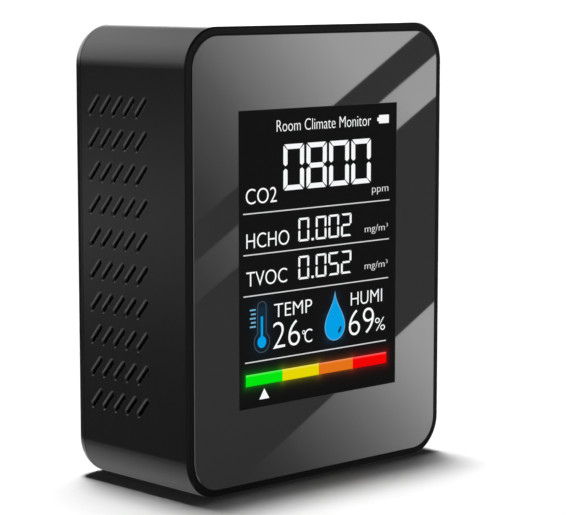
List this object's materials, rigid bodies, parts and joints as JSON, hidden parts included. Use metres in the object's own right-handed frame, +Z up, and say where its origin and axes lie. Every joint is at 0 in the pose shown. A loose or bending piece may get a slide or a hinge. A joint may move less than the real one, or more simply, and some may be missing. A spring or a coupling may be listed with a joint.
{
  "type": "carbon dioxide monitor",
  "caption": "Upright rounded desktop air monitor with a glossy front panel, a colour screen, slanted side vents, and a power button and charging port on the back.",
  "frame": {"origin": "bottom centre: on the surface it stands on, under the middle of the case", "axes": "+Z up, +Y from the screen towards the back, +X to the right as the screen is read"},
  "size_m": [0.062, 0.031, 0.08],
  "materials": {
    "housing": "satin black moulded case plastic",
    "screw_black": "blackened steel",
    "panel_gloss": "polished black panel",
    "tape": "black adhesive foam tape",
    "screen_glass": "dark anti-glare screen lens",
    "film": "dark polarising film",
    "display_glass": "thin display glass",
    "chip": "black moulded chip body",
    "white_plastic": "white moulded plastic",
    "light_guide": "clear acrylic",
    "led": "yellow phosphor in clear resin",
    "flex": "amber polyimide film",
    "cream_plastic": "cream connector plastic",
    "circuit_board": "green solder mask on glass-filled board",
    "screw_zinc": "zinc-plated steel",
    "capacitor": "fired ceramic",
    "sensor_board": "blue solder mask on glass-filled board",
    "gold": "gold-plated",
    "filter": "white porous membrane",
    "black_plastic": "black moulded plastic",
    "can": "bright drawn steel",
    "button": "satin dark grey plastic",
    "battery_foil": "laminated silver foil",
    "battery_tape": "amber insulating tape",
    "foam": "dark grey foam pad",
    "wire_red": "red wire insulation",
    "wire_black": "black wire insulation"
  },
  "bodies": {
    "case": {"housing": "housing", "back_cover": "housing", "case_screws": "screw_black", "front_panel": "panel_gloss", "panel_tape": "tape", "screen_lens": "screen_glass", "display_polariser": "film", "display_glass": "display_glass", "display_driver_chip": "chip", "backlight_frame": "white_plastic", "light_guide": "light_guide", "backlight_leds": "led", "display_flex": "flex", "flex_connector": "cream_plastic", "main_board": "circuit_board", "main_board_screws": "screw_zinc", "controller_chip": "chip", "memory_chip": "chip", "board_capacitors": "capacitor", "co2_sensor_board": "sensor_board", "co2_sensor_pins": "gold", "co2_sensor_chamber": "gold", "co2_sensor_filters": "filter", "hcho_sensor_can": "white_plastic", "hcho_sensor_filter": "filter", "tvoc_sensor_base": "black_plastic", "tvoc_sensor_cap": "can", "humidity_sensor": "white_plastic", "link_header": "black_plastic", "link_socket": "black_plastic", "power_board": "circuit_board", "power_board_screws": "screw_zinc", "usb_port_shell": "can", "usb_port_tongue": "black_plastic", "charger_chip": "chip", "switch_body": "black_plastic", "switch_cover": "can", "battery_cell": "battery_foil", "battery_circuit_end": "battery_tape", "battery_pad": "foam", "battery_lead_red": "wire_red", "battery_lead_black": "wire_black", "battery_plug": "cream_plastic", "battery_socket": "cream_plastic"},
    "button": {"power_button": "button"},
    "plunger": {"switch_plunger": "black_plastic"}
  },
  "joints": [
    {"name": "button_press", "type": "slide", "parent": "case", "child": "button", "axis": [0, -1, 0], "range_m": [0, 0.00025], "stiffness_N_per_m": 3000},
    {"name": "plunger_press", "type": "slide", "parent": "case", "child": "plunger", "axis": [0, -1, 0], "range_m": [0, 0.00025]}
  ],
  "couplings": [
    {"joint": "plunger_press", "follows": "button_press", "ratio": 1}
  ]
}
